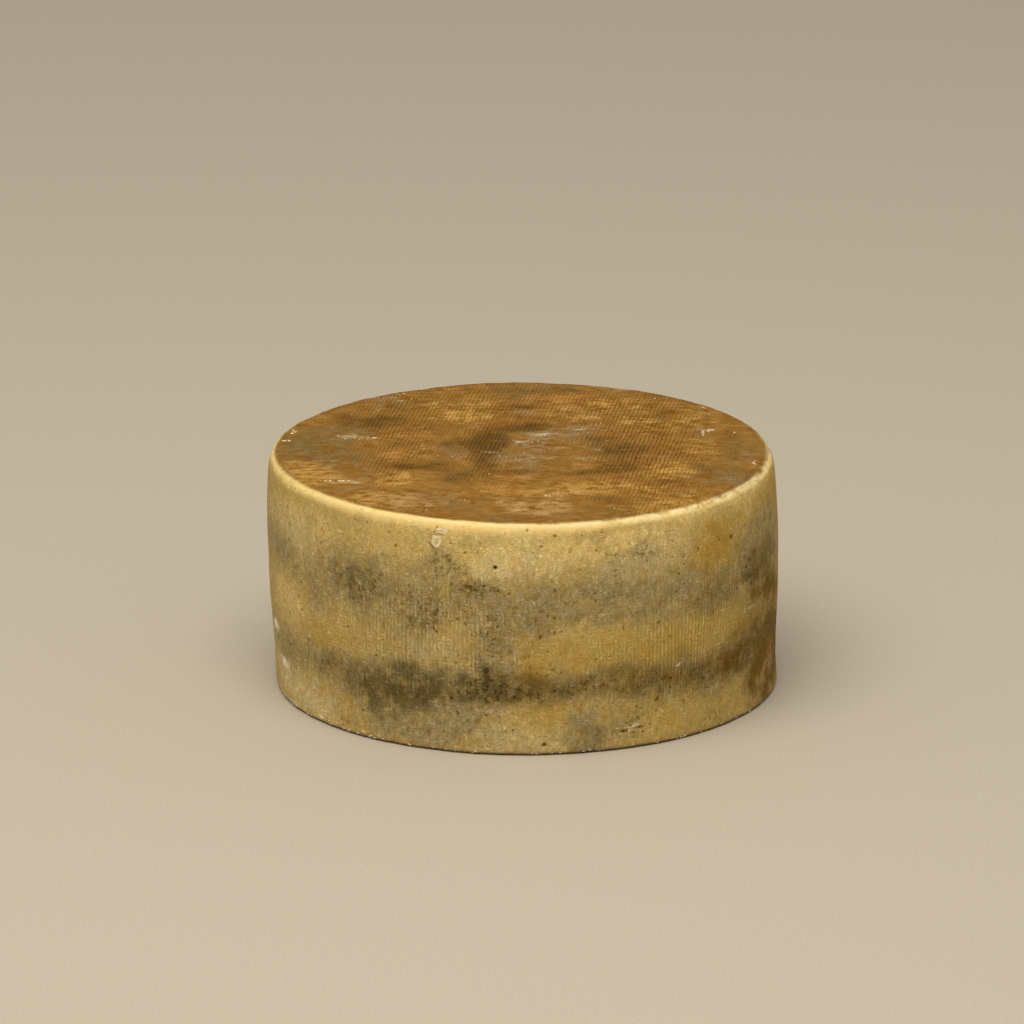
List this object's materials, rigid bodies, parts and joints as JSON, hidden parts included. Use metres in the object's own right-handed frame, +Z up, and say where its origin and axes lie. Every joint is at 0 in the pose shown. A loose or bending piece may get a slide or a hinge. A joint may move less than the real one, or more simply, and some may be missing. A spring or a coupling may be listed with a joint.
{
  "type": "aged sheep cheese wheel",
  "caption": "Whole uncut wheel of aged hard cheese with a mottled mould rind, low and round with a worn pale rim, standing on its flat underside.",
  "frame": {"origin": "middle of the flat underside, at the centre of the wheel's outline seen from above", "axes": "+Z up through the middle of the wheel, -Y towards the side of the rind that is seen most, +X to that side's right"},
  "size_m": [0.259, 0.2588, 0.1202],
  "materials": {
    "rind": "waxy, mottled with mould, cloth-marked"
  },
  "bodies": {
    "root": {"cheese_wheel": "rind"}
  },
  "joints": []
}
